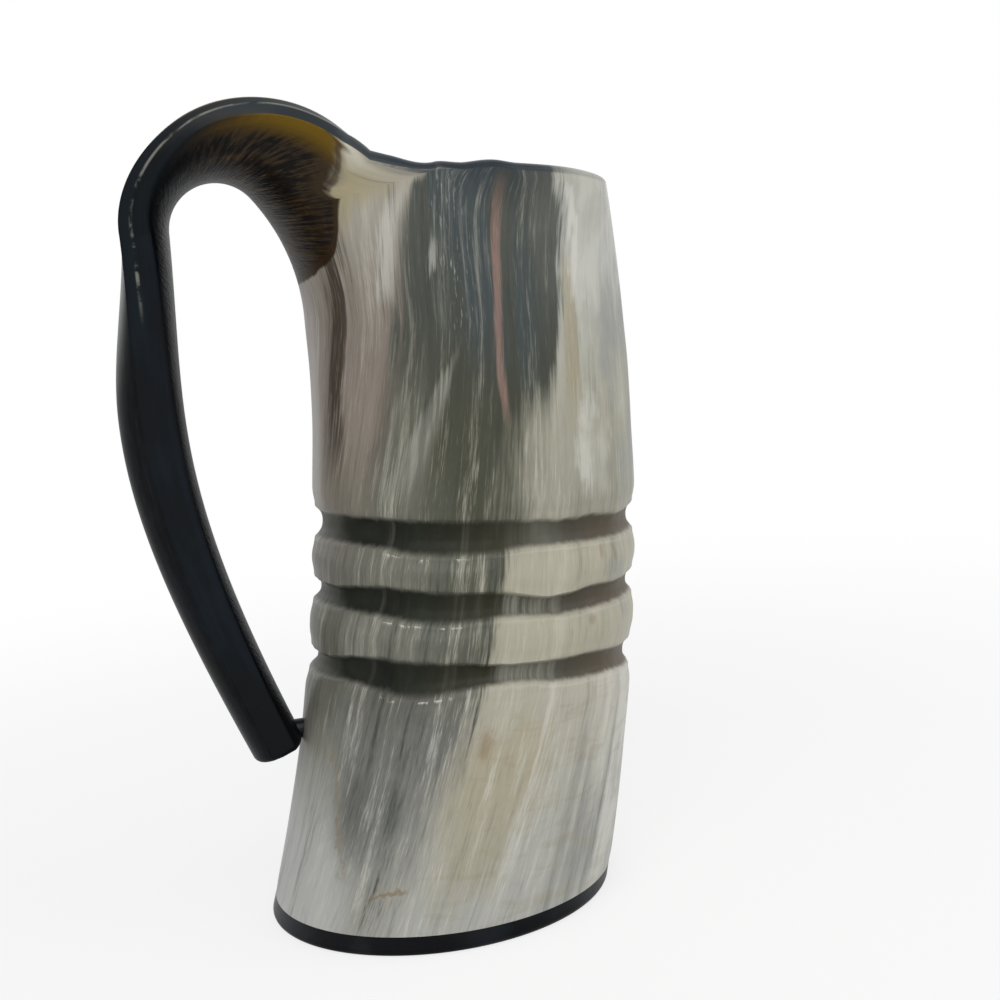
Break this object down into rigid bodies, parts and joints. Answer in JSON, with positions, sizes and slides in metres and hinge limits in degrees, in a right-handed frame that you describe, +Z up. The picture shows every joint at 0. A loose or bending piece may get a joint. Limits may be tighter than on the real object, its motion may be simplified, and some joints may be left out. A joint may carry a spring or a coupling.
{
  "type": "horn drinking tankard",
  "caption": "Leaning oval horn tankard with carved ring grooves, a black base plate and a handle made by bending the horn's narrow end over and down to the wall.",
  "frame": {"origin": "middle of the flat underside of the base plate, on the surface that the cup stands on", "axes": "+Z up; -X toward the handle; +Y across the handle's plane"},
  "size_m": [0.1081, 0.0702, 0.1732],
  "materials": {
    "horn_grey": "polished natural horn, grey and beige fibres",
    "horn_black": "polished black horn",
    "base_black": "polished black horn",
    "glue": "clear brown resin"
  },
  "bodies": {
    "root": {"horn_body": "horn_grey", "handle": "horn_black", "base_plate": "base_black", "base_seal": "glue", "handle_peg": "horn_black"}
  },
  "joints": []
}
